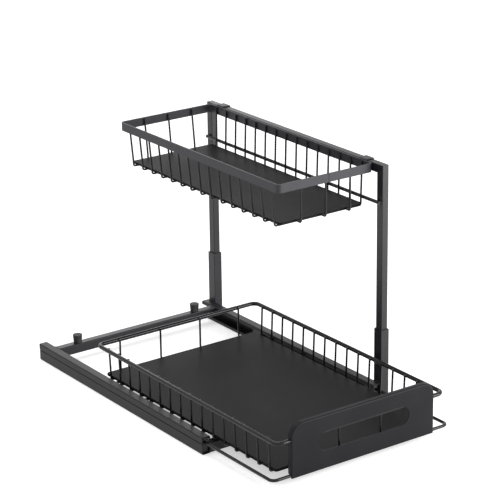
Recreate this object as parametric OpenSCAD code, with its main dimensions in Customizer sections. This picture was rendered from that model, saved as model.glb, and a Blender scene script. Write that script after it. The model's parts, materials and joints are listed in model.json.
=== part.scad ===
// Pull-out cabinet basket with a wire drawer on two rails and a smaller
// basket that hangs beside it on an upright frame of box-section tube.
// Millimetres, +Z up, the drawer pulls out towards -Y, the frame is on +X.

/* [Base frame] */
// Centre of the drawer's rim wire to the outer face of the rail below it
side_gap = 13.5; // [12.5:0.1:16]
// Length of each rail, front to rear
rail_length = 420; // [400:5:450]
// Height of a rail with its cap on
rail_height = 25; // [24:0.5:28]
// Width of a rail, outer face to inner edge
rail_width = 13; // [12.5:0.5:15]
// Sheet thickness of channels and caps
rail_sheet = 1.2; // [1:0.1:1.5]
// Outer radius of the rail's folds
rail_fold = 1.5; // [1:0.1:2]
// Height of the inward lips that stiffen channel and cap
rail_lip = 5; // [3:0.5:6]
// Height of the shoulder under the seam on the outer side
seam_level = 15; // [13:0.5:16]
// Open height of the seam between channel and cap
seam_height = 1.3; // [0.8:0.1:2]
// How far the cap skirt stands out past the channel
cap_overhang = 0.4; // [0.2:0.1:0.6]
// Distance of the tack weld from the front end of the rail
tack_position = 236; // [100:2:300]
// Length of the tack weld
tack_length = 3.5; // [2:0.5:8]
// Height of the rectangular cross tubes
crossbar_height = 14.5; // [10:0.5:14.5]
// Depth of the cross tubes, front to rear
crossbar_depth = 12.5; // [11:0.5:16]
// Wall of the cross tubes
crossbar_wall = 1.2; // [1:0.1:2]
// Outer corner radius of the cross tubes
crossbar_corner = 1.5; // [0.8:0.1:2.5]
// Rear end of the rails to the rear face of the rear cross tube
crossbar_inset = 23.5; // [15:0.5:30]

/* [Bumpers] */
// Diameter of a bumper at its top
bumper_top = 14; // [12.5:0.5:16]
// Diameter of a bumper where it sits on the tube
bumper_foot = 12; // [10:0.2:12.4]
// Height of a bumper above the tube
bumper_height = 12.5; // [8:0.5:16]
// Radius of the bumper's upper edge
bumper_edge = 0.8; // [0.4:0.1:2]
// Diameter of the push-in neck
bumper_neck = 5; // [4:0.5:6]
// Diameter of the bulb inside the tube that holds the neck
bumper_bulb = 7.5; // [6.5:0.5:9]
// Outer face of the rail to the bumper's centre
bumper_inset = 47.5; // [42:0.5:54]

/* [Upright frame] */
// Height of the upright frame above the floor
frame_height = 341.5; // [325:0.5:380]
// Width of the frame's tube, left to right
tube_width = 10.5; // [9:0.5:12]
// Depth of the frame's tube, in the plane of the frame
tube_depth = 12.5; // [10:0.5:16]
// Wall of the frame's tube
tube_wall = 1; // [0.8:0.1:1.5]
// Outer corner radius of the frame's tube and its sockets
tube_corner = 0.8; // [0.6:0.1:2]
// Wall of the sockets that hold the posts
socket_wall = 1.65; // [1.2:0.05:2.5]
// Height of the sockets
socket_height = 103; // [60:1:120]
// Thickness of the plate that closes a socket's foot
socket_floor = 2; // [1:0.5:4]
// Diameter of the round rod that the hanging basket leans on
rod_diameter = 5; // [4:0.5:6]
// Frame's top down to that rod's centre
rod_drop = 53; // [30:0.5:60]
// Distance of the rod's ends from the front and rear faces of the posts
rod_inset = 2.5; // [1:0.5:6]

/* [Drawer basket] */
// Width of the rim, centre to centre of the wire
rim_width = 276; // [260:1:290]
// Length of the rim, centre to centre of the wire
rim_length = 426; // [414:1:440]
// Height of the rim's centre
rim_height = 64.6; // [58:0.1:80]
// Diameter of the rim wire
rim_wire = 6; // [5:0.5:7]
// Bend radius of the rim's corners, at the wire's centre
rim_corner = 10; // [8:0.5:30]
// How far the drawer is pulled out in the pose shown, rim to rail ends
pull_out = 148; // [120:1:200]
// Number of wires across the drawer
cross_count = 16; // [10:1:16]
// Spacing of the wires across the drawer
cross_pitch = 25.25; // [20:0.05:25.5]
// Rim's front to the first wire across
cross_margin = 24; // [14:0.5:26]
// Height of the centre of the wires across, the lowest of the basket
cross_level = 17.85; // [17.8:0.05:22]
// Lean of each side, rim to floor
side_lean = 1.7; // [0:0.1:6]
// Lean of the rear side, rim to floor
rear_lean = 0; // [0:0.1:6]
// Number of wires along the drawer
long_count = 4; // [2:1:4]
// Spacing of the wires along the drawer
long_pitch = 69; // [40:0.5:72]
// How far the wire tips stand above the rim's centre
tip_rise = 1.5; // [0.5:0.5:2.5]
// Corner radius of the drawer's floor
drawer_floor_corner = 4; // [3:1:25]

/* [Wire and floor sheet, both baskets] */
// Diameter of the basket wires
wire_diameter = 2.8; // [2.4:0.1:3.2]
// Bend radius of the basket wires, at the wire's centre
wire_bend = 3.2; // [3:0.1:6]
// Thickness of the floor sheets
floor_sheet = 1.2; // [0.8:0.1:1.6]
// Depth of the lip folded down round each floor
floor_lip = 2.3; // [1.5:0.1:2.5]
// Wires of the front to the front edge of each floor
floor_inset = 9; // [4:0.5:14]

/* [Runner] */
// Outer face of the rail to the runner wire's centre
runner_inset = 5.6; // [5.2:0.1:7]
// Height of the runner wire's centre
runner_height = 16.4; // [16:0.1:17.4]
// Diameter of the runner wire
runner_wire = 4.5; // [4:0.1:4.8]
// Bend radius of the runner's front corners, at the wire's centre
runner_corner = 8; // [6:1:16]
// Rear end of the slider blocks behind the rim's rear
slider_tail = 10; // [0:1:20]
// Length of the slider blocks
slider_length = 20; // [12:1:40]
// Diameter of the two rods that tie the runner's legs together
tie_diameter = 4; // [3:0.5:5]
// Number of wires across in front of the rear tie rod
rear_tie_count = 15; // [13:1:15]
// Number of wires across in front of the middle tie rod, which ends the pull-out
middle_tie_count = 12; // [9:1:12]
// Front end of the rail to the front face of the nylon glide
glide_inset = 3; // [1:1:10]
// Length of the nylon glides
glide_length = 18; // [10:1:25]

/* [Handle plate] */
// Width of the handle plate
plate_width = 237; // [200:1:250]
// Height of the handle plate
plate_height = 74.5; // [70:0.5:90]
// Depth of the flange folded back round the plate
plate_depth = 7.2; // [5.5:0.1:10]
// Sheet thickness of the handle plate
plate_sheet = 1.5; // [1:0.1:2]
// Radius of the plate's two upper corners
plate_corner = 19; // [12:0.5:30]
// Outer radius of the fold between the plate's face and its flange
plate_fold = 2.4; // [2:0.1:4]
// Length of the grip slot
slot_length = 152; // [100:1:180]
// Height of the grip slot
slot_height = 27.5; // [22:0.5:32]
// Plate's lower edge to the middle of the grip slot
slot_rise = 38.5; // [34:0.5:42]

/* [Hanging basket] */
// Width over the strap
hanging_width = 160.5; // [140:0.5:170]
// Length over the strap
hanging_length = 385; // [380:1:386]
// Front end of the rails to the front of the strap
hanging_inset = 20; // [17:1:24]
// Height of the flat strap
strap_height = 12.3; // [10:0.1:16]
// Thickness of the strap
strap_sheet = 2; // [1.5:0.1:2.5]
// Outer corner radius of the strap
strap_corner = 6; // [4:0.5:12]
// Left end of the strap to its seam
strap_seam = 84.5; // [60:0.5:100]
// Strap's top to the centre of the wires across, under the floor
hanging_depth = 63.75; // [58:0.05:66]
// Number of wires across the hanging basket
hanging_cross_count = 15; // [8:1:15]
// Spacing of the wires across the hanging basket
hanging_cross_pitch = 24.65; // [20:0.05:24.9]
// Front of the strap to the first wire across
hanging_cross_margin = 20; // [11:0.5:21]
// Lean of the left side, strap to floor
hanging_side_lean = 5; // [0:0.1:8]
// Lean of the right side, strap to floor
hanging_right_lean = 1.7; // [1.6:0.1:6]
// Lean of the rear side, strap to floor
hanging_rear_lean = 6; // [2:0.5:8]
// Number of wires along the hanging basket
hanging_long_count = 3; // [1:1:3]
// Spacing of the wires along the hanging basket
hanging_long_pitch = 41.6; // [30:0.1:44]
// Strap's top down to the tips of its wires
strap_tip = 2; // [1:0.5:4]
// Corner radius of the hanging basket's floor
hanging_floor_corner = 4; // [3:1:20]
// Width of each hanging hook
hook_width = 15; // [10:1:24]
// Sheet thickness of the hooks
hook_sheet = 1.5; // [1.2:0.1:2]
// Outer radius of the hooks' bends
hook_fold = 2; // [1.6:0.1:3]
// Gap between a hook's inner leg and the top bar
strap_gap = 0.5; // [0.4:0.1:3]
// How far each hook reaches down behind the top bar
hook_drop = 12; // [8:1:20]
// End of the strap to the middle of the nearer hook
hook_inset = 23; // [16:1:60]

/* [Hidden] */
$fn = 48;
steel = [0.20, 0.20, 0.21];
dark_steel = [0.15, 0.15, 0.16];
nylon = [0.08, 0.08, 0.09];
rubber = [0.05, 0.05, 0.05];

touch = 0.05;         // seated pieces of one body
post_clearance = 0.1; // post in socket, each side
bore_clearance = 0.1; // runner wire in glide, radial
slide_clearance = 0.3;// slider block in rail, each side
lift_clearance = 0.4; // hanging basket to frame
hook_lift = 0.3;      // hook's top plate above the bar
knuckle_swell = 0.02; // wire at a bend, radial
plate_drop = 0.6;     // plate's lower edge below the runner wire

half = rim_width / 2 + side_gap;
base_width = 2 * half;
wire_r = wire_diameter / 2;
rim_r = rim_wire / 2;
runner_r = runner_wire / 2;

// Rail section, measured inward from the rail's outer face
joggle = rail_sheet - cap_overhang + touch;
wall_inner = joggle + rail_sheet;
skirt_foot = seam_level + seam_height;
runner_x = half - runner_inset;

// Rear cross tube
rear_bar_back = rail_length - crossbar_inset;
rear_bar_middle = rear_bar_back - crossbar_depth / 2;
crossbar_length = base_width - 2 * rail_width;

// Upright frame
socket_width = tube_width + 2 * (post_clearance + socket_wall);
socket_depth = tube_depth + 2 * (post_clearance + socket_wall);
socket_x = half + cap_overhang + touch;
post_x = socket_x + socket_wall + post_clearance;
post_front = socket_wall + post_clearance;
post_rear = rail_length - post_front;
frame_length = post_rear - post_front;
support_x = post_x - rod_diameter / 2 - touch;
rod_height = frame_height - rod_drop;

// Drawer
rim_front = -pull_out;
rim_rear = rim_front + rim_length;
side_x = rim_width / 2 - rim_r - wire_r - touch;
front_y = rim_front + rim_r + wire_r + touch;
rear_y = rim_rear - rim_r - wire_r - touch;
tip_z = rim_height + tip_rise;
long_level = cross_level + wire_diameter + touch;
floor_under = long_level + wire_r + touch;
tie_level = long_level - wire_r - touch - tie_diameter / 2;
cross_front = rim_front + cross_margin;
tie_rear_y = cross_front + (rear_tie_count - 0.5) * cross_pitch;
tie_middle_y = cross_front + (middle_tie_count - 0.5) * cross_pitch;
slider_rear = rim_rear + slider_tail;
slider_wall = 4;
leg_end = slider_rear - slider_wall - touch;

// Handle plate
plate_front = rim_front - rim_r - touch - plate_sheet;
runner_front = plate_front + plate_sheet + touch + runner_r;
plate_foot = runner_height - runner_r - plate_drop;
flange_foot = runner_height + runner_r + touch;

// Hanging basket
strap_right = post_x - strap_gap - hook_sheet;
strap_left = strap_right - hanging_width;
strap_front = hanging_inset;
strap_rear = strap_front + hanging_length;
strap_top = frame_height;
hang_left = strap_left + strap_sheet + wire_r + touch;
hang_right = strap_right - strap_sheet - wire_r - touch;
hang_front = strap_front + strap_sheet + wire_r + touch;
hang_rear = strap_rear - strap_sheet - wire_r - touch;
hang_middle = (hang_left + hanging_side_lean + hang_right - hanging_right_lean) / 2;
hang_tip = strap_top - strap_tip;
hang_cross_level = strap_top - hanging_depth;
hang_long_level = hang_cross_level + wire_diameter + touch;
hang_floor_under = hang_long_level + wire_r + touch;
hook_outer = post_x + tube_width + lift_clearance;

// The origin is the middle of the whole part's footprint
box_left = -half - cap_overhang;
box_right = max(socket_x + socket_width, hook_outer + hook_sheet);
box_front = plate_front;
box_rear = rail_length;

module placed() {
    translate([-(box_left + box_right) / 2, -(box_front + box_rear) / 2, 0]) children();
}

// Quarter bend of a round wire, centred on the origin
module bend_quarter(start, r, bend) {
    rotate([0, 0, start]) rotate_extrude(angle = 90) translate([bend, 0]) circle(r = r);
}

module rod_x(x0, x1, r) { translate([x0, 0, 0]) rotate([0, 90, 0]) cylinder(r = r, h = x1 - x0); }
module rod_y(y0, y1, r) { translate([0, y0, 0]) rotate([-90, 0, 0]) cylinder(r = r, h = y1 - y0); }

// Wire bent to a U in the XY plane: legs at x = a and x = b end at y = tip,
// the run between them lies at y = low. A leg may lean outwards from a
// knuckle just above its bend, by lean_a or lean_b at its tip.
module u_wire(a, b, low, tip, r, bend, lean_a = 0, lean_b = 0) {
    left = a + lean_a;
    right = b - lean_b;
    translate([0, low, 0]) rod_x(left + bend, right - bend, r);
    translate([left + bend, low + bend, 0]) bend_quarter(180, r, bend);
    translate([right - bend, low + bend, 0]) bend_quarter(270, r, bend);
    translate([left, 0, 0]) wire_leg(low + bend, tip, r, -lean_a);
    translate([right, 0, 0]) wire_leg(low + bend, tip, r, lean_b);
}

module wire_leg(foot, tip, r, lean) {
    if (lean == 0) rod_y(foot, tip, r);
    else {
        knuckle = foot + 2 * r;
        rod_y(foot, knuckle, r);
        translate([0, knuckle, 0]) {
            sphere(r = r + knuckle_swell);
            rotate([0, 0, -atan2(lean, tip - knuckle)]) rod_y(0, norm([lean, tip - knuckle]), r);
        }
    }
}

// Wire bent to a closed ring with four round corners, in the XY plane
module ring_wire(left, right, front, rear, r, bend) {
    for (y = [front, rear]) translate([0, y, 0]) rod_x(left + bend, right - bend, r);
    for (x = [left, right]) translate([x, 0, 0]) rod_y(front + bend, rear - bend, r);
    translate([left + bend, front + bend, 0]) bend_quarter(180, r, bend);
    translate([right - bend, front + bend, 0]) bend_quarter(270, r, bend);
    translate([right - bend, rear - bend, 0]) bend_quarter(0, r, bend);
    translate([left + bend, rear - bend, 0]) bend_quarter(90, r, bend);
}

// A wire in a plane across the basket, or in a plane along it
module across(y) { translate([0, y, 0]) rotate([90, 0, 0]) children(); }
module along(x) { translate([x, 0, 0]) rotate([90, 0, 90]) children(); }

module both_sides() { children(); mirror([1, 0, 0]) children(); }

module rounded(left, right, front, rear, r) {
    translate([left + r, front]) square([right - left - 2 * r, rear - front]);
    translate([left, front + r]) square([right - left, rear - front - 2 * r]);
    for (x = [left + r, right - r], y = [front + r, rear - r]) translate([x, y]) circle(r = r);
}

// Takes the square corner at x, y off to a radius; sx and sy point into the metal
module ease_corner(x, y, sx, sy, r) {
    difference() {
        translate([x - (sx > 0 ? 1 : r), y - (sy > 0 ? 1 : r)]) square(r + 1);
        translate([x + sx * r, y + sy * r]) circle(r = r);
    }
}

module tube_section(width, depth, wall, corner) {
    difference() {
        rounded(0, width, 0, depth, corner);
        translate([wall, wall]) square([width - 2 * wall, depth - 2 * wall]);
    }
}

module frame_tube(length) {
    linear_extrude(length) tube_section(tube_width, tube_depth, tube_wall, tube_corner);
}

// ---- base frame ----

module channel_section() {
    difference() {
        polygon([[0, 0], [rail_width, 0], [rail_width, rail_lip], [rail_width - rail_sheet, rail_lip],
            [rail_width - rail_sheet, rail_sheet], [rail_sheet, rail_sheet],
            [rail_sheet, seam_level - rail_sheet - joggle], [wall_inner, seam_level - rail_sheet],
            [wall_inner, rail_height - rail_sheet - touch], [joggle, rail_height - rail_sheet - touch],
            [joggle, seam_level], [0, seam_level]]);
        ease_corner(0, 0, 1, 1, rail_fold);
        ease_corner(rail_width, 0, -1, 1, rail_fold);
        ease_corner(0, seam_level, 1, -1, joggle);
    }
}

module cap_section() {
    difference() {
        polygon([[-cap_overhang, skirt_foot], [-cap_overhang, rail_height], [rail_width, rail_height],
            [rail_width, rail_height - rail_lip], [rail_width - rail_sheet, rail_height - rail_lip],
            [rail_width - rail_sheet, rail_height - rail_sheet],
            [rail_sheet - cap_overhang, rail_height - rail_sheet],
            [rail_sheet - cap_overhang, skirt_foot]]);
        ease_corner(-cap_overhang, rail_height, 1, -1, rail_fold);
        ease_corner(rail_width, rail_height, -1, -1, rail_fold);
    }
}

module rail_run() {
    translate([-half, rail_length, 0]) rotate([90, 0, 0]) linear_extrude(rail_length) children();
}

glide_middle = glide_inset + glide_length / 2;
peg_diameter = 5;

module channel() {
    difference() {
        rail_run() channel_section();
        translate([-half + rail_width / 2, glide_middle, -1])
            cylinder(d = peg_diameter + 2 * touch, h = rail_sheet + 2);
    }
}

module left_rail_channel() { color(steel) placed() channel(); }
module right_rail_channel() { color(steel) placed() mirror([1, 0, 0]) channel(); }
module left_rail_cap() { color(steel) placed() rail_run() cap_section(); }
module right_rail_cap() { color(steel) placed() mirror([1, 0, 0]) rail_run() cap_section(); }

module rail_tack_welds() {
    color(dark_steel) placed() both_sides()
        translate([-half, tack_position - tack_length / 2, seam_level])
            cube([joggle, tack_length, seam_height]);
}

module crossbar() {
    rotate([90, 0, 90]) linear_extrude(crossbar_length)
        tube_section(crossbar_depth, crossbar_height, crossbar_wall, crossbar_corner);
}

module front_crossbar() {
    color(dark_steel) placed() translate([-crossbar_length / 2, 0, 0]) crossbar();
}

module rear_crossbar() {
    color(steel) placed() difference() {
        translate([-crossbar_length / 2, rear_bar_back - crossbar_depth, rail_height - crossbar_height])
            crossbar();
        both_sides() translate([-half + bumper_inset, rear_bar_middle, rail_height - crossbar_wall - 1])
            cylinder(d = bumper_neck + 2 * touch, h = crossbar_wall + 2);
    }
}

// Turned profile: bulb and neck below the tube's top wall, tapered head above
module bumpers() {
    bulb_z = -crossbar_wall - touch;
    color(rubber) placed() both_sides()
        translate([-half + bumper_inset, rear_bar_middle, rail_height + touch]) rotate_extrude()
            difference() {
                polygon([[0, bulb_z - 4], [bumper_neck / 2, bulb_z - 4], [bumper_bulb / 2, bulb_z - 2],
                    [bumper_bulb / 2, bulb_z - touch], [bumper_neck / 2, bulb_z - touch],
                    [bumper_neck / 2, 0], [bumper_foot / 2, 0],
                    [bumper_top / 2, bumper_height - bumper_edge], [bumper_top / 2, bumper_height],
                    [0, bumper_height]]);
                ease_corner(bumper_top / 2, bumper_height, -1, -1, bumper_edge);
            }
}

module front_glides() {
    color(nylon) placed() both_sides() difference() {
        union() {
            translate([-half + wall_inner + touch, glide_inset, rail_sheet + touch])
                cube([rail_width - rail_sheet - wall_inner - 2 * touch, glide_length,
                    rail_height - 2 * rail_sheet - 2 * touch]);
            translate([-half + rail_width / 2, glide_middle, 0.3])
                cylinder(d = peg_diameter, h = rail_sheet + touch);
        }
        translate([-runner_x, glide_inset - 1, runner_height]) rotate([-90, 0, 0])
            cylinder(r = runner_r + bore_clearance, h = glide_length + 2);
    }
}

// ---- upright frame ----

module socket() {
    difference() {
        linear_extrude(socket_height) rounded(0, socket_width, 0, socket_depth, tube_corner);
        translate([socket_wall, socket_wall, socket_floor])
            cube([socket_width - 2 * socket_wall, socket_depth - 2 * socket_wall, socket_height]);
    }
}

module front_post_socket() { color(steel) placed() translate([socket_x, 0, 0]) socket(); }
module rear_post_socket() {
    color(steel) placed() translate([socket_x, rail_length - socket_depth, 0]) socket();
}

module front_post() {
    color(steel) placed() translate([post_x, post_front, socket_floor + touch]) intersection() {
        post_blank();
        mitre_keep();
    }
}
module rear_post() {
    color(steel) placed() translate([post_x, post_rear, socket_floor + touch]) mirror([0, 1, 0])
        intersection() {
            post_blank();
            mitre_keep();
        }
}
module post_blank() { frame_tube(frame_height - socket_floor - touch); }

// Everything below the 45 degree mitre plane through the post's outer top edge
module mitre_keep() {
    top = frame_height - socket_floor - touch;
    translate([-1, 0, 0]) rotate([90, 0, 90]) linear_extrude(tube_width + 2)
        polygon([[-1, -1], [tube_depth + 1, -1], [tube_depth + 1, top - tube_depth - 1], [-1, top + 1]]);
}

module top_bar() {
    color(steel) placed() translate([post_x, post_front, frame_height - tube_depth])
        intersection() {
            rotate([-90, 0, 0]) translate([0, -tube_depth, 0])
                frame_tube(frame_length);
            translate([-1, 0, 0]) rotate([90, 0, 90]) linear_extrude(tube_width + 2)
                polygon([[-1, tube_depth + 1], [tube_depth + 1, -1],
                    [frame_length - tube_depth - 1, -1], [frame_length + 1, tube_depth + 1]]);
        }
}

module support_rod() {
    color(steel) placed() translate([support_x, post_front + rod_inset, rod_height]) rotate([-90, 0, 0])
        cylinder(d = rod_diameter, h = frame_length - 2 * rod_inset);
}

// ---- drawer ----

module drawer_rim() {
    x = rim_width / 2;
    color(steel) placed() translate([0, 0, rim_height])
        ring_wire(-x, x, rim_front, rim_rear, rim_r, rim_corner);
}

module drawer_cross_wires() {
    color(steel) placed() for (i = [0 : cross_count - 1])
        across(cross_front + i * cross_pitch)
            u_wire(-side_x, side_x, cross_level, tip_z, wire_r, wire_bend, side_lean, side_lean);
}

module drawer_long_wires() {
    color(steel) placed() for (i = [0 : long_count - 1])
        along((i - (long_count - 1) / 2) * long_pitch)
            u_wire(front_y, rear_y, long_level, tip_z, wire_r, wire_bend, 0, rear_lean);
}

// Floor sheet with a folded lip, notched where the wires along the basket pass under it
module floor_pan(left, right, front, rear, corner, under, wires) {
    difference() {
        translate([0, 0, under - floor_lip]) linear_extrude(floor_lip + floor_sheet)
            rounded(left, right, front, rear, corner);
        translate([0, 0, under - floor_lip - 1]) linear_extrude(floor_lip + 1)
            rounded(left + floor_sheet, right - floor_sheet, front + floor_sheet, rear - floor_sheet,
                corner - floor_sheet);
        for (x = wires) translate([x - wire_r - 0.4, front - 1, under - floor_lip - 1])
            cube([wire_diameter + 0.8, rear - front + 2, floor_lip + 1]);
    }
}

module drawer_floor() {
    x = side_x - side_lean - wire_bend;
    color(dark_steel) placed()
        floor_pan(-x, x, front_y + floor_inset, rear_y - rear_lean - wire_bend, drawer_floor_corner,
            floor_under, [for (i = [0 : long_count - 1]) (i - (long_count - 1) / 2) * long_pitch]);
}

module runner_loop() {
    color(steel) placed() translate([0, 0, runner_height])
        u_wire(-runner_x, runner_x, runner_front, leg_end, runner_r, runner_corner);
}

// Rods under the basket wires, cut to saddle against the runner's legs
module runner_ties() {
    color(steel) placed() for (y = [tie_rear_y, tie_middle_y]) difference() {
        translate([-runner_x, y, tie_level]) rotate([0, 90, 0])
            cylinder(d = tie_diameter, h = 2 * runner_x);
        both_sides() translate([-runner_x, y - 10, runner_height]) rotate([-90, 0, 0])
            cylinder(r = runner_r + touch, h = 20);
        both_sides() translate([-runner_x - 10, y - 10, tie_level - 10]) cube([10, 20, 20]);
    }
}

module runner_sliders() {
    color(nylon) placed() both_sides() difference() {
        translate([-half + wall_inner + slide_clearance, slider_rear - slider_length,
            rail_sheet + slide_clearance])
            cube([rail_width - rail_sheet - wall_inner - 2 * slide_clearance, slider_length,
                rail_height - 2 * rail_sheet - 2 * slide_clearance]);
        translate([-runner_x, slider_rear - slider_length - 1, runner_height]) rotate([-90, 0, 0])
            cylinder(r = runner_r + touch, h = slider_length - slider_wall + 1);
    }
}

// Face and flange of the plate in section, x across the face towards its edge
module plate_section() {
    difference() {
        square([plate_corner, plate_depth]);
        ease_corner(plate_corner, 0, -1, 1, plate_fold);
        difference() {
            translate([-1, plate_sheet]) square([plate_corner - plate_sheet + 1, plate_depth]);
            ease_corner(plate_corner - plate_sheet, plate_sheet, -1, 1, plate_fold - plate_sheet);
        }
    }
}

// Plate standing on its lower edge at z = 0, its face towards -Y at y = 0
module plate_shell() {
    side = plate_width / 2 - plate_corner;
    shoulder = plate_height - plate_corner;
    translate([-side, 0, 0]) cube([2 * side, plate_sheet, shoulder]);
    both_sides() translate([side, 0, 0]) linear_extrude(shoulder) plate_section();
    both_sides() translate([side, 0, shoulder]) rotate([90, 0, 0]) mirror([0, 0, 1])
        rotate_extrude(angle = 90) plate_section();
    translate([-side, 0, shoulder]) rotate([0, -90, 0]) mirror([0, 0, 1])
        linear_extrude(2 * side) plate_section();
}

module handle_plate() {
    slot_r = slot_height / 2;
    reach = slot_length / 2 - slot_r;
    color(steel) placed() translate([0, plate_front, plate_foot]) difference() {
        plate_shell();
        translate([-plate_width / 2 - 1, plate_sheet, -1])
            cube([plate_width + 2, plate_depth, flange_foot - plate_foot + 1]);
        translate([0, -1, slot_rise]) {
            for (x = [-reach, reach]) translate([x, 0, 0]) rotate([-90, 0, 0])
                cylinder(r = slot_r, h = plate_sheet + 2);
            translate([-reach, 0, -slot_r]) cube([2 * reach, plate_sheet + 2, slot_height]);
        }
        translate([-plate_width / 2 - 1, plate_sheet, rim_height - plate_foot - rim_r - touch])
            cube([plate_width + 2, plate_depth, rim_wire + 2 * touch]);
    }
}

// ---- hanging basket ----

module hanging_rim() {
    color(steel) placed() translate([0, 0, strap_top - strap_height]) difference() {
        linear_extrude(strap_height)
            rounded(strap_left, strap_right, strap_front, strap_rear, strap_corner);
        translate([0, 0, -1]) linear_extrude(strap_height + 2)
            rounded(strap_left + strap_sheet, strap_right - strap_sheet, strap_front + strap_sheet,
                strap_rear - strap_sheet, strap_corner - strap_sheet);
        translate([strap_left + strap_seam, strap_front - 1, -1])
            cube([0.3, strap_sheet + 2, strap_height + 2]);
    }
}

module hanging_cross_wires() {
    color(steel) placed() for (i = [0 : hanging_cross_count - 1])
        across(strap_front + hanging_cross_margin + i * hanging_cross_pitch)
            u_wire(hang_left, hang_right, hang_cross_level, hang_tip, wire_r, wire_bend,
                hanging_side_lean, hanging_right_lean);
}

module hanging_long_wires() {
    color(steel) placed() for (i = [0 : hanging_long_count - 1])
        along(hang_middle + (i - (hanging_long_count - 1) / 2) * hanging_long_pitch)
            u_wire(hang_front, hang_rear, hang_long_level, hang_tip, wire_r, wire_bend,
                0, hanging_rear_lean);
}

module hanging_floor() {
    color(dark_steel) placed()
        floor_pan(hang_left + hanging_side_lean + wire_bend, hang_right - hanging_right_lean - wire_bend,
            hang_front + floor_inset, hang_rear - hanging_rear_lean - wire_bend, hanging_floor_corner,
            hang_floor_under, [for (i = [0 : hanging_long_count - 1])
                hang_middle + (i - (hanging_long_count - 1) / 2) * hanging_long_pitch]);
}

// Bent sheet: a leg on the strap, a bridge over the bar, a leg behind it
module hanging_hooks() {
    foot = strap_top - strap_height + 1;
    under = strap_top + hook_lift;
    top = under + hook_sheet;
    color(steel) placed() for (y = [strap_front + hook_inset, strap_rear - hook_inset])
        translate([0, y + hook_width / 2, 0]) rotate([90, 0, 0]) linear_extrude(hook_width)
            difference() {
                polygon([[strap_right, foot], [strap_right + hook_sheet, foot],
                    [strap_right + hook_sheet, under], [hook_outer, under],
                    [hook_outer, frame_height - hook_drop],
                    [hook_outer + hook_sheet, frame_height - hook_drop],
                    [hook_outer + hook_sheet, top], [strap_right, top]]);
                ease_corner(strap_right, top, 1, -1, hook_fold);
                ease_corner(hook_outer + hook_sheet, top, -1, -1, hook_fold);
            }
}

left_rail_channel();
right_rail_channel();
left_rail_cap();
right_rail_cap();
rail_tack_welds();
front_crossbar();
rear_crossbar();
bumpers();
front_glides();
front_post_socket();
rear_post_socket();
front_post();
rear_post();
top_bar();
support_rod();
drawer_rim();
drawer_cross_wires();
drawer_long_wires();
drawer_floor();
runner_loop();
runner_ties();
runner_sliders();
handle_plate();
hanging_rim();
hanging_cross_wires();
hanging_long_wires();
hanging_floor();
hanging_hooks();
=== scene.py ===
"""Looks of the pull-out cabinet basket: powder-coated steel, nylon and rubber."""
import json
import math

import bmesh
import bpy
from mathutils import Matrix, Vector


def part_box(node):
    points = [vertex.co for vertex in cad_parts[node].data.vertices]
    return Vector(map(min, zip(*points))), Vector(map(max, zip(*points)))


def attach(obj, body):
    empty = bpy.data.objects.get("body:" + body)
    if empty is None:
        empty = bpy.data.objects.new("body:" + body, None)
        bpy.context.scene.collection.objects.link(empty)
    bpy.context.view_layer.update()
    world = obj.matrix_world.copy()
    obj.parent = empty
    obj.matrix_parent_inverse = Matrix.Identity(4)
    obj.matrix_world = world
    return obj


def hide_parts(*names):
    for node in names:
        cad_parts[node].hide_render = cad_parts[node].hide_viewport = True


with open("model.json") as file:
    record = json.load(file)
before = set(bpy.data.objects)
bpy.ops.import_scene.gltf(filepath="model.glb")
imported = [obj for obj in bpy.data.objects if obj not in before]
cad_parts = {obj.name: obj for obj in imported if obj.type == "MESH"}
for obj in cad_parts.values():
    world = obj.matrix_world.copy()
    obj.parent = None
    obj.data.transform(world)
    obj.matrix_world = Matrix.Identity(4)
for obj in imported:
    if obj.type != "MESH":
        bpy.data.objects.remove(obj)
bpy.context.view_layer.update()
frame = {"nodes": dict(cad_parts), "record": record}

scene = bpy.context.scene


# ---- camera: at the photograph's place ----

CAMERA_PLACE = (-1.59824, -2.257995, 1.19077)  # metres
CAMERA_AZIMUTH, CAMERA_ELEVATION, CAMERA_ROLL = -35.61, 19.41, -0.74  # degrees
CAMERA_LENS, CAMERA_SENSOR = 153.28, 36.0  # millimetres
CAMERA_NEAR, CAMERA_FAR = 0.1, 60  # metres


def make_camera():
    data = bpy.data.cameras.new("camera")
    data.lens, data.sensor_width = CAMERA_LENS, CAMERA_SENSOR
    data.clip_start, data.clip_end = CAMERA_NEAR, CAMERA_FAR
    camera = bpy.data.objects.new("camera", data)
    scene.collection.objects.link(camera)
    azimuth, elevation, roll = map(math.radians, (CAMERA_AZIMUTH, CAMERA_ELEVATION, CAMERA_ROLL))
    level = math.cos(elevation)
    back = Vector((math.sin(azimuth) * level, -math.cos(azimuth) * level, math.sin(elevation)))
    right = Vector((math.cos(azimuth), math.sin(azimuth), 0))
    up = back.cross(right)
    x = right * math.cos(roll) + up * math.sin(roll)
    y = up * math.cos(roll) - right * math.sin(roll)
    turn = Matrix((x, y, back)).transposed().to_4x4()
    camera.matrix_world = Matrix.Translation(CAMERA_PLACE) @ turn
    scene.camera = camera


# ---- node helpers ----

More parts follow.
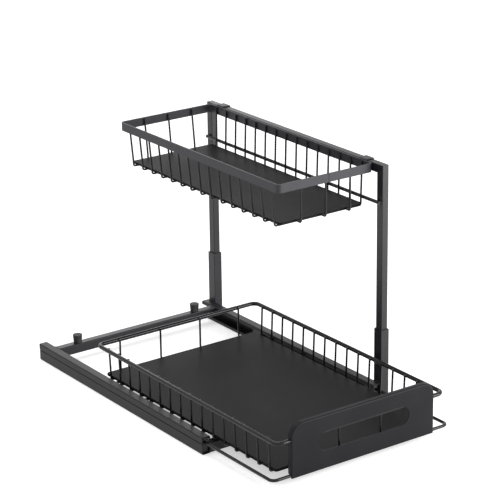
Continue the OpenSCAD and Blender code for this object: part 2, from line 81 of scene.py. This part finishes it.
class Nodes:
    """The node tree of a material or of the world, with short calls to add and join nodes."""

    def __init__(self, owner, shader="Principled BSDF"):
        owner.use_nodes = True
        self.tree = owner.node_tree
        self.inputs = self.tree.nodes[shader].inputs
        self.coordinates = None

    def add(self, kind, **settings):
        node = self.tree.nodes.new("ShaderNode" + kind)
        for key, value in settings.items():
            setattr(node, key, value)
        return node

    def join(self, source, target):
        self.tree.links.new(source, target)

    def noise(self, scale, detail, rough):
        """Noise that is fixed to the object, at this many cells to a metre."""
        if self.coordinates is None:
            self.coordinates = self.add("TexCoord").outputs["Object"]
        node = self.add("TexNoise")
        node.inputs["Scale"].default_value = scale
        node.inputs["Detail"].default_value = detail
        node.inputs["Roughness"].default_value = rough
        self.join(self.coordinates, node.inputs["Vector"])
        return node.outputs["Fac"]

    def span(self, value, low, high, to_low, to_high):
        """value, stretched from the span low to high onto the span to_low to to_high."""
        node = self.add("MapRange")
        ends = {"From Min": low, "From Max": high, "To Min": to_low, "To Max": to_high}
        for key, number in ends.items():
            node.inputs[key].default_value = number
        self.join(value, node.inputs["Value"])
        return node.outputs["Result"]

    def blend(self, factor, first, second):
        """first where factor is 0 and second where it is 1: each a colour or another node's output."""
        node = self.add("Mix", data_type="RGBA")
        self.join(factor, node.inputs["Factor"])
        for socket, colour in ((node.inputs[6], first), (node.inputs[7], second)):
            if isinstance(colour, tuple):
                socket.default_value = (*colour, 1)
            else:
                self.join(colour, socket)
        return node.outputs[2]

    def bump(self, height, distance):
        node = self.add("Bump")
        node.inputs["Strength"].default_value = 1.0
        node.inputs["Distance"].default_value = distance
        self.join(height, node.inputs["Height"])
        return node.outputs["Normal"]


# ---- materials ----

# Noises: cells to a metre, octaves, roughness
PEEL, CLOUD, SPECK, MOTTLE = (1400, 3, 0.6), (18, 3, 0.55), (2600, 1, 0.5), (60, 3, 0.6)
SKIN_OCTAVES, SKIN_ROUGHNESS = 3, 0.6  # a mould's skin has its own number of cells
# Where in a noise's range its mark begins and is full
SPECK_SPAN, CLOUD_SPAN, MOTTLE_SPAN, SHEEN_SPAN = (0.35, 0.65), (0.4, 0.75), (0.35, 0.7), (0.3, 0.7)

PEEL_DEPTH = 0.00003  # metres
SPECK_TONE = 0.82  # a speck's colour, as a share of the paint's own
CLOUD_TONE, CLOUD_HAZE = 1.35, 0.004  # a rubbed place's colour: a share of the paint's own, and a haze
CLOUD_SHARE = 0.5  # how much of it shows at most
COAT_SMOOTHER, COAT_ROUGHER = 0.02, 0.03  # how far the roughness wanders either way
MOTTLE_TONE = 0.8  # a mottled place's colour, as a share of the plastic's own
MOULD_SPREAD = 0.06  # how far the roughness wanders either way


def powder_coat(name, colour, rough, gloss=0.3):
    """Baked powder paint: fine orange peel, darker specks, and paler clouds where it is rubbed."""
    material = bpy.data.materials.new(name)
    n = Nodes(material)
    peel, cloud = n.noise(*PEEL), n.noise(*CLOUD)
    speck = n.span(n.noise(*SPECK), *SPECK_SPAN, 0, 1)
    paler = tuple(c * CLOUD_TONE + CLOUD_HAZE for c in colour)
    darker = tuple(c * SPECK_TONE for c in colour)
    tone = n.blend(speck, darker, colour)
    tone = n.blend(n.span(cloud, *CLOUD_SPAN, 0, CLOUD_SHARE), tone, paler)
    n.join(tone, n.inputs["Base Color"])
    sheen = n.span(cloud, *SHEEN_SPAN, rough - COAT_SMOOTHER, rough + COAT_ROUGHER)
    n.join(sheen, n.inputs["Roughness"])
    n.join(n.bump(peel, PEEL_DEPTH), n.inputs["Normal"])
    n.inputs["Specular IOR Level"].default_value = gloss
    return material


def moulded(name, colour, rough, scale, depth):
    """Nylon or rubber out of a mould: a soft sheen over a fine skin."""
    material = bpy.data.materials.new(name)
    n = Nodes(material)
    skin = n.noise(scale, SKIN_OCTAVES, SKIN_ROUGHNESS)
    mottle = n.span(n.noise(*MOTTLE), *MOTTLE_SPAN, 0, 1)
    n.join(n.blend(mottle, tuple(c * MOTTLE_TONE for c in colour), colour), n.inputs["Base Color"])
    sheen = n.span(skin, *SHEEN_SPAN, rough - MOULD_SPREAD, rough + MOULD_SPREAD)
    n.join(sheen, n.inputs["Roughness"])
    n.join(n.bump(skin, depth), n.inputs["Normal"])
    return material


MATERIALS = {
    "rail_paint": powder_coat("rail_coat", (0.010, 0.0095, 0.0115), rough=0.4, gloss=0.2),
    "weld_paint": powder_coat("weld_coat", (0.014, 0.014, 0.015), rough=0.5),
    "tube_paint": powder_coat("tube_coat", (0.012, 0.011, 0.014), rough=0.38, gloss=0.36),
    "wire_paint": powder_coat("wire_coat", (0.004, 0.0038, 0.0048), rough=0.25),
    # The floor sheets' coat is darker in part because the paint is darker, and in part as painted shade
    # for the shadow of bottles standing in the baskets
    "floor_paint": powder_coat("floor_coat_dark_and_painted_shade", (0.0055, 0.0055, 0.0062), rough=0.5, gloss=0.07),
    "plate_paint": powder_coat("plate_coat", (0.0085, 0.008, 0.010), rough=0.42, gloss=0.14),
    # The strap's coat is painted paler than the other black coats: painted light, standing in for the
    # brighter light that falls on the high strap
    "strap_paint": powder_coat("strap_coat_painted_light", (0.038, 0.036, 0.043), rough=0.44, gloss=0.25),
    "nylon": moulded("nylon", (0.012, 0.012, 0.012), rough=0.45, scale=900, depth=0.00002),
    "rubber": moulded("rubber", (0.014, 0.014, 0.015), rough=0.6, scale=700, depth=0.00004),
}


def dress_nodes():
    slots = {s["node"]: s["material_slot"] for s in frame["record"]["subparts"]}
    for name, obj in frame["nodes"].items():
        material = MATERIALS[slots[name]]
        if not obj.material_slots:
            obj.data.materials.append(material)
        for slot in obj.material_slots:
            slot.material = material


# ---- eased edges: sheet and tube are folded and painted, so no edge is sharp ----

# Width of the eased edge in millimetres, and the nodes that have it
EASED_EDGES = (
    (0.25, ("left_rail_channel", "right_rail_channel", "left_rail_cap", "right_rail_cap",
        "front_post", "rear_post", "top_bar")),
    (0.3, ("front_crossbar", "rear_crossbar")),
    (0.35, ("hanging_floor", "hanging_hooks", "drawer_cross_wires", "drawer_long_wires",
        "hanging_cross_wires", "hanging_long_wires")),
    (0.4, ("front_post_socket", "rear_post_socket", "handle_plate", "hanging_rim",
        "front_glides", "runner_ties")),
    (0.5, ("support_rod",)),
    (0.6, ("runner_sliders",)),
)
EASED_SEGMENTS = 2
SHARP_FROM = math.radians(40)


def ease_edges():
    for width, nodes in EASED_EDGES:
        for name in nodes:
            bevel = frame["nodes"][name].modifiers.new("eased edges", "BEVEL")
            bevel.width, bevel.segments = width / 1000, EASED_SEGMENTS
            bevel.limit_method, bevel.angle_limit = "ANGLE", SHARP_FROM
            bevel.use_clamp_overlap = True


# ---- pieces made here are measured in millimetres, from the boxes of the CAD nodes ----

class Box:
    """A CAD node's box at rest, in millimetres."""

    def __init__(self, node):
        low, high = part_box(node)
        self.left, self.front, self.foot = (v * 1000 for v in low)
        self.right, self.rear, self.top = (v * 1000 for v in high)


def row(low, high, count):
    return [low + (high - low) * i / (count - 1) for i in range(count)]


def add_object(name, mesh, slot):
    """An object from a finished mesh, with the material of one of the record's slots."""
    data = bpy.data.meshes.new(name)
    mesh.to_mesh(data)
    mesh.free()
    data.materials.append(MATERIALS[slot])
    made = bpy.data.objects.new(name, data)
    scene.collection.objects.link(made)
    return made


# ---- welds: a small bead wherever one wire, strap, tube or plate is joined to another ----

RIM_WIRE, BASKET_WIRE, STRAP_SHEET = 6.0, 2.8, 2.0
TOUCH = 0.05  # gap between two pieces that are welded together
DRAWER_ACROSS, DRAWER_ALONG = 16, 4  # wires
HANGING_ACROSS, HANGING_ALONG = 15, 3

# Half the size of each kind of bead along x, y and z
ACROSS_ON_RIM, ALONG_ON_RIM = (1.5, 2.0, 2.3), (2.0, 1.5, 2.3)
ACROSS_ON_STRAP, ALONG_ON_STRAP = (1.0, 1.9, 2.2), (1.9, 1.0, 2.2)
WIRE_ON_WIRE, WIRE_ON_TIE = (1.5, 1.5, 0.9), (1.8, 1.6, 1.0)
RIM_ON_PLATE, RUNNER_ON_PLATE = (4.0, 1.3, 1.6), (4.5, 1.2, 1.2)
ROD_ON_POST, SOCKET_ON_RAIL, BAR_ON_RAIL = (1.5, 2.6, 3.0), (1.3, 1.5, 1.3), (1.2, 0.7, 1.0)
SEAM_DROP = (0.9, 0.18, 0.8)

RIM_BEADS = (37, 49)  # in from each side of the rim, clear of the grip slot
RUNNER_BEADS, RUNNER_BEAD_INSET = 5, 38
TIE_RADIUS, TIE_BEAD_SUNK = 2, 0.3
STRAP_BEAD_RAISED, STRAP_BEAD_SUNK = 3.5, 5.0  # from the strap's foot, from its top
SEAM_PLACE, SEAM_SUNK = 84.65, 0.05  # from the strap's left side, behind its front face
SEAM_DROPS, SEAM_INSET = 17, 0.7
ROD_BEAD_INSET, ROD_BEAD_SIDE, ROD_BEAD_SUNK = 1.2, 0.8, 2.5
SOCKET_BEADS, SOCKET_BEAD_INSET, SOCKET_BEAD_RAISED = 7, 2.2, 0.2
BAR_BEADS, BAR_BEAD_INSET = 4, 0.5
BAR_BEAD_LEVELS = {"front_crossbar": (1.2, 4.4), "rear_crossbar": (20.8, 24.2)}

# Two shallow waves over a bead, which shift from one bead to the next, so that no two look cast alike
WAVE_HEIGHTS = (0.09, 0.07)
WAVE_X, WAVE_Y, WAVE_Z = 4.1, 5.3, 2.2
WAVE_SHIFT, SECOND_SHIFT = 0.9, 1.7
BEAD_SUBDIVISIONS = 2


def add_bead(mesh, place, radii, shift):
    """One bead: a round drop, a little uneven."""
    centre = Vector(place) / 1000
    made = bmesh.ops.create_icosphere(mesh, subdivisions=BEAD_SUBDIVISIONS, radius=1.0)
    for vert in made["verts"]:
        x, y, z = vert.co
        first = WAVE_HEIGHTS[0] * math.sin(WAVE_X * x + shift)
        second = WAVE_HEIGHTS[1] * math.sin(WAVE_Y * y - SECOND_SHIFT * shift + WAVE_Z * z)
        wave = 1 + first + second
        vert.co = centre + Vector([c * r * wave / 1000 for c, r in zip((x, y, z), radii)])


def make_welds(name, body, beads):
    mesh = bmesh.new()
    for i, (place, radii) in enumerate(beads):
        add_bead(mesh, place, radii, WAVE_SHIFT * i)
    for face in mesh.faces:
        face.smooth = True
    welds = add_object(name, mesh, "weld_paint")
    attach(welds, body)


def wire_rows(across, across_count, along, along_count):
    """Where the wires along a basket stand in x, and the wires across it in y."""
    half = BASKET_WIRE / 2
    xs = row(along.left + half, along.right - half, along_count)
    ys = row(across.front + half, across.rear - half, across_count)
    return xs, ys


def drawer_weld_beads():
    rim, runner, ties = Box("drawer_rim"), Box("runner_loop"), Box("runner_ties")
    across, along = Box("drawer_cross_wires"), Box("drawer_long_wires")
    xs, ys = wire_rows(across, DRAWER_ACROSS, along, DRAWER_ALONG)
    sides, ends = (rim.left + RIM_WIRE, rim.right - RIM_WIRE), (rim.front + RIM_WIRE, rim.rear - RIM_WIRE)
    rim_level, runner_level = rim.top - RIM_WIRE / 2, (runner.foot + runner.top) / 2
    beads = [((x, y, rim_level), ACROSS_ON_RIM) for y in ys for x in sides]
    beads += [((x, y, rim_level), ALONG_ON_RIM) for x in xs for y in ends]
    beads += [((x, y, across.foot + BASKET_WIRE), WIRE_ON_WIRE) for x in xs for y in ys]
    plate_back = rim.front - TOUCH
    outer, inner = RIM_BEADS
    beads += [((x, plate_back, rim_level), RIM_ON_PLATE)
        for x in (rim.left + outer, rim.left + inner, rim.right - inner, rim.right - outer)]
    beads += [((x, plate_back, runner_level), RUNNER_ON_PLATE)
        for x in row(rim.left + RUNNER_BEAD_INSET, rim.right - RUNNER_BEAD_INSET, RUNNER_BEADS)]
    beads += [((x, y, ties.top - TIE_BEAD_SUNK), WIRE_ON_TIE)
        for y in (ties.front + TIE_RADIUS, ties.rear - TIE_RADIUS) for x in xs]
    return beads


def hanging_weld_beads():
    strap = Box("hanging_rim")
    across, along = Box("hanging_cross_wires"), Box("hanging_long_wires")
    xs, ys = wire_rows(across, HANGING_ACROSS, along, HANGING_ALONG)
    inner = STRAP_SHEET + 2 * TOUCH
    sides, ends = (strap.left + inner, strap.right - inner), (strap.front + inner, strap.rear - inner)
    levels = (strap.foot + STRAP_BEAD_RAISED, strap.top - STRAP_BEAD_SUNK)
    beads = [((x, y, z), ACROSS_ON_STRAP) for y in ys for x in sides for z in levels]
    beads += [((x, y, z), ALONG_ON_STRAP) for x in xs for y in ends for z in levels]
    beads += [((x, y, across.foot + BASKET_WIRE), WIRE_ON_WIRE) for x in xs for y in ys]
    return beads


def strap_seam_beads():
    """The butt weld of the strap, dressed nearly flush: a row of flat drops down its front face."""
    strap = Box("hanging_rim")
    return [((strap.left + SEAM_PLACE, strap.front + SEAM_SUNK, z), SEAM_DROP)
        for z in row(strap.foot + SEAM_INSET, strap.top - SEAM_INSET, SEAM_DROPS)]


def frame_weld_beads():
    rod, cap = Box("support_rod"), Box("right_rail_cap")
    beads = [((rod.right - ROD_BEAD_SIDE, y, rod.top - ROD_BEAD_SUNK), ROD_ON_POST)
        for y in (rod.front + ROD_BEAD_INSET, rod.rear - ROD_BEAD_INSET)]
    for socket in (Box("front_post_socket"), Box("rear_post_socket")):
        beads += [((cap.right, y, cap.top + SOCKET_BEAD_RAISED), SOCKET_ON_RAIL)
            for y in row(socket.front + SOCKET_BEAD_INSET, socket.rear - SOCKET_BEAD_INSET, SOCKET_BEADS)]
    for node, (low, high) in BAR_BEAD_LEVELS.items():
        bar = Box(node)
        beads += [((x, y, z), BAR_ON_RAIL) for x in (bar.left, bar.right)
            for y in (bar.front + BAR_BEAD_INSET, bar.rear - BAR_BEAD_INSET)
            for z in row(low, high, BAR_BEADS)]
    return beads


# ---- the drawer's floor sheet, with its folded edge run out against the side wires ----

PAN_REACH = 1.6  # beyond each side of the CAD's sheet
PAN_SHEET = 1.2
PAN_LIP = 3.5  # height of the folded edge
PAN_FOLD = 1.1  # radius of the fold
PAN_CORNER = 4.0  # radius of the corners, seen from above
CORNER_STEPS, FOLD_STEPS = 6, 4


def pan_ring(mesh, sheet, inset, z):
    """The sheet's rounded outline, this far in and at this height, counter-clockwise."""
    radius = PAN_CORNER - inset
    left, right = sheet.left - PAN_REACH + PAN_CORNER, sheet.right + PAN_REACH - PAN_CORNER
    front, rear = sheet.front + PAN_CORNER, sheet.rear - PAN_CORNER
    ring = []
    for x, y, start in ((right, rear, 0), (left, rear, 90), (left, front, 180), (right, front, 270)):
        for step in range(CORNER_STEPS + 1):
            angle = math.radians(start + 90 / CORNER_STEPS * step)
            place = (x + radius * math.cos(angle), y + radius * math.sin(angle), z)
            ring.append(mesh.verts.new([v / 1000 for v in place]))
    return ring


def make_floor_pan():
    sheet = Box("drawer_floor")
    top = sheet.top
    profile = [(PAN_SHEET, top - PAN_SHEET), (PAN_SHEET, top - PAN_LIP), (0, top - PAN_LIP)]
    flat_bands = len(profile)
    for step in range(FOLD_STEPS + 1):
        angle = math.radians(90 / FOLD_STEPS * step)
        profile.append((PAN_FOLD * (1 - math.cos(angle)), top - PAN_FOLD * (1 - math.sin(angle))))
    mesh = bmesh.new()
    rings = [pan_ring(mesh, sheet, inset, z) for inset, z in profile]
    mesh.faces.new(reversed(rings[0]))
    mesh.faces.new(rings[-1])
    for i, (near, far) in enumerate(zip(rings, rings[1:])):
        for j in range(len(near)):
            k = (j + 1) % len(near)
            mesh.faces.new((near[j], near[k], far[k], far[j])).smooth = i >= flat_bands
    bmesh.ops.recalc_face_normals(mesh, faces=mesh.faces)
    pan = add_object("drawer_floor_pan", mesh, "floor_paint")
    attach(pan, "drawer")
    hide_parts("drawer_floor")


# ---- floor, light, background ----

FLOOR_SIZE = 12.0  # metres
FLOOR_DROP = 0.0002  # metres below the rails, so that no face of theirs lies in the floor's own
FLOOR_TONE = (0.9, 0.9, 0.9)
FLOOR_LIFT = 0.5  # how much whiter the floor is where it is looked at than where it lights
WHITE = (1, 1, 1)
WORLD_LIGHT, WORLD_SHOWN = 0.6, 1  # strength on the object, and where the world is looked at

# Name, place, what it points at, side of the square lamp (all in metres), watts
LAMPS = (
    ("key", (-0.3, 0.5, 2.6), (0, 0, 0.1), 1.8, 24),
    ("front", (0.8, -1.25, 0.4), (0.15, -0.1, 0.3), 0.7, 17),
    ("back", (1.3, 2.8, 1.2), (-0.1, 0.2, 0), 1.3, 8),
)


def looked_at(n):
    """1 on the rays that show the backdrop: to the camera, in a gloss or through glass."""
    path = n.add("LightPath")
    either = n.add("Math", operation="MAXIMUM")
    n.join(path.outputs["Is Camera Ray"], either.inputs[0])
    n.join(path.outputs["Is Glossy Ray"], either.inputs[1])
    any_of_three = n.add("Math", operation="MAXIMUM")
    n.join(either.outputs[0], any_of_three.inputs[0])
    n.join(path.outputs["Is Transmission Ray"], any_of_three.inputs[1])
    return any_of_three.outputs[0]


def make_floor():
    bpy.ops.mesh.primitive_plane_add(size=FLOOR_SIZE)
    floor = bpy.context.object
    floor.name = "floor"
    floor.location.z = -FLOOR_DROP
    material = bpy.data.materials.new("floor_white")
    n = Nodes(material)
    n.inputs["Base Color"].default_value = (*FLOOR_TONE, 1)
    n.inputs["Roughness"].default_value = 1.0
    n.inputs["Specular IOR Level"].default_value = 0.0
    n.inputs["Emission Color"].default_value = (*WHITE, 1)
    n.join(n.span(looked_at(n), 0, 1, 0, FLOOR_LIFT), n.inputs["Emission Strength"])
    floor.data.materials.append(material)


def make_lamp(name, place, target, size, power):
    data = bpy.data.lights.new(name, "AREA")
    data.energy, data.size = power, size
    lamp = bpy.data.objects.new(name, data)
    scene.collection.objects.link(lamp)
    aim = Vector(target) - Vector(place)
    lamp.matrix_world = Matrix.Translation(place) @ aim.to_track_quat("-Z", "Y").to_matrix().to_4x4()


def make_light():
    world = bpy.data.worlds.new("studio")
    scene.world = world
    n = Nodes(world, "Background")
    n.inputs["Color"].default_value = (*WHITE, 1)
    n.join(n.span(looked_at(n), 0, 1, WORLD_LIGHT, WORLD_SHOWN), n.inputs["Strength"])
    for lamp in LAMPS:
        make_lamp(*lamp)


make_camera()
dress_nodes()
ease_edges()
make_floor_pan()
make_welds("drawer_welds", "drawer", drawer_weld_beads())
make_welds("hanging_basket_welds", "hanging_basket", hanging_weld_beads())
make_welds("strap_seam_weld", "hanging_basket", strap_seam_beads())
make_welds("frame_welds", "frame", frame_weld_beads())
make_floor()
make_light()
scene.view_settings.view_transform = "Standard"
